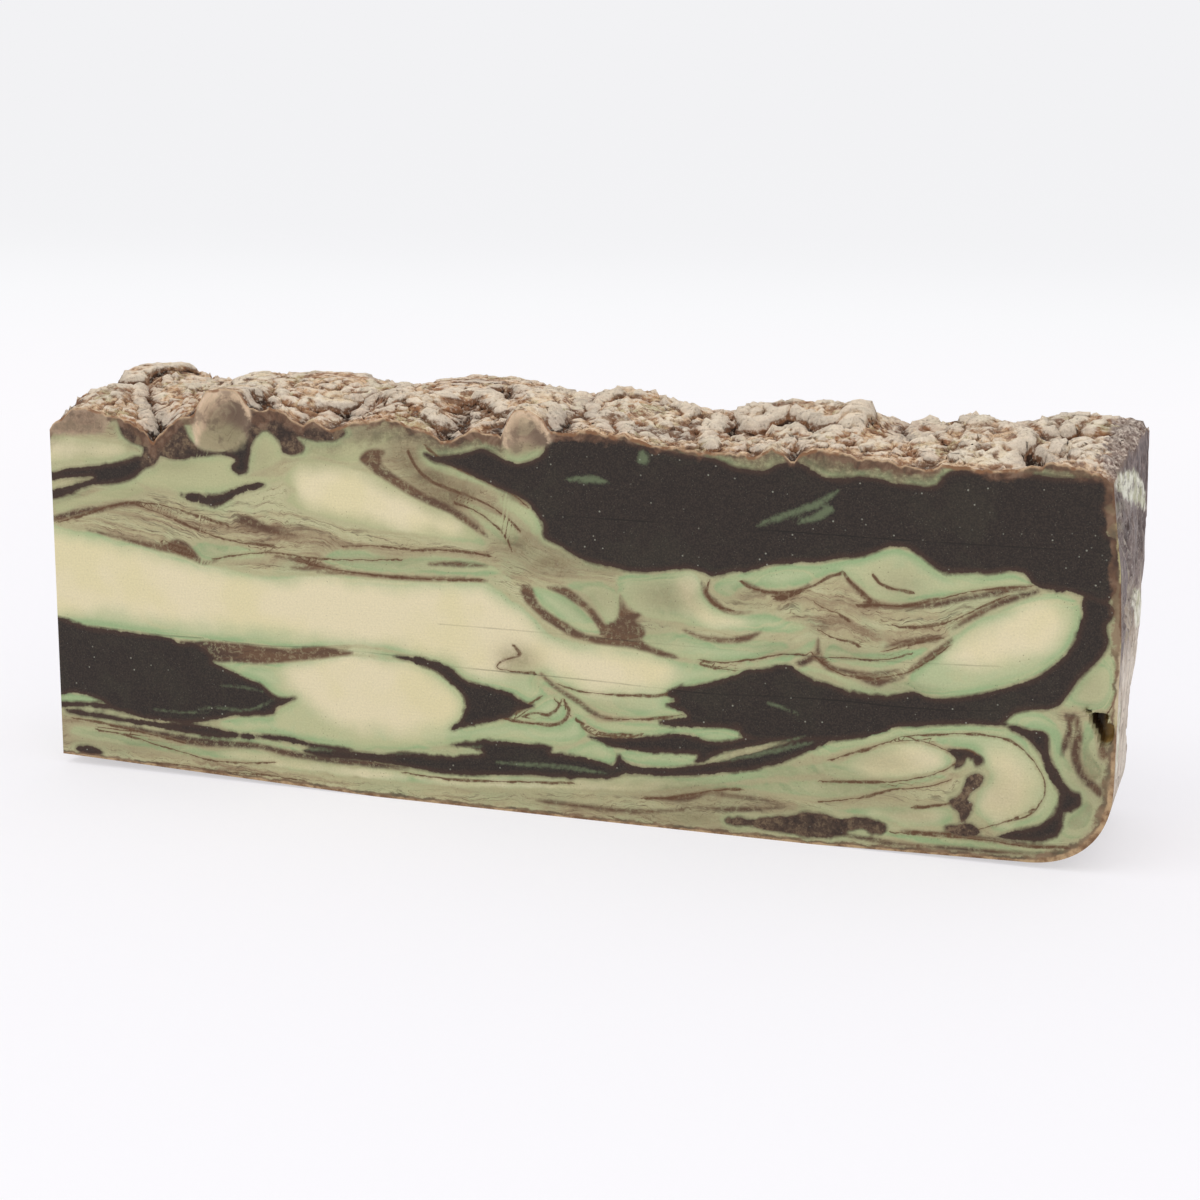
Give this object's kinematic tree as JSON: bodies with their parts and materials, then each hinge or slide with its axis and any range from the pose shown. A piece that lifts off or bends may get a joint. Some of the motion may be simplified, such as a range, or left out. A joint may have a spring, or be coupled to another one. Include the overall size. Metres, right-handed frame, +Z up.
{
  "type": "soap loaf",
  "caption": "Solid bar-shaped loaf of marbled cold-process soap with a flat cut face, a moulded rounded end and a rumpled spooned top; stands on its flat sole to be cut into bars.",
  "frame": {"origin": "centre of the loaf's bounding footprint, on the surface that it stands on", "axes": "+X along the loaf towards the rounded moulded end, +Y from the flat cut face to the moulded back, +Z up"},
  "size_m": [0.255, 0.05, 0.0955],
  "materials": {
    "soap": "waxy satin cut faces with cream, sage green and dark brown marbling; matte tan and grey-brown on the rumpled top and moulded sides"
  },
  "bodies": {
    "root": {"soap_loaf": "soap"}
  },
  "joints": []
}
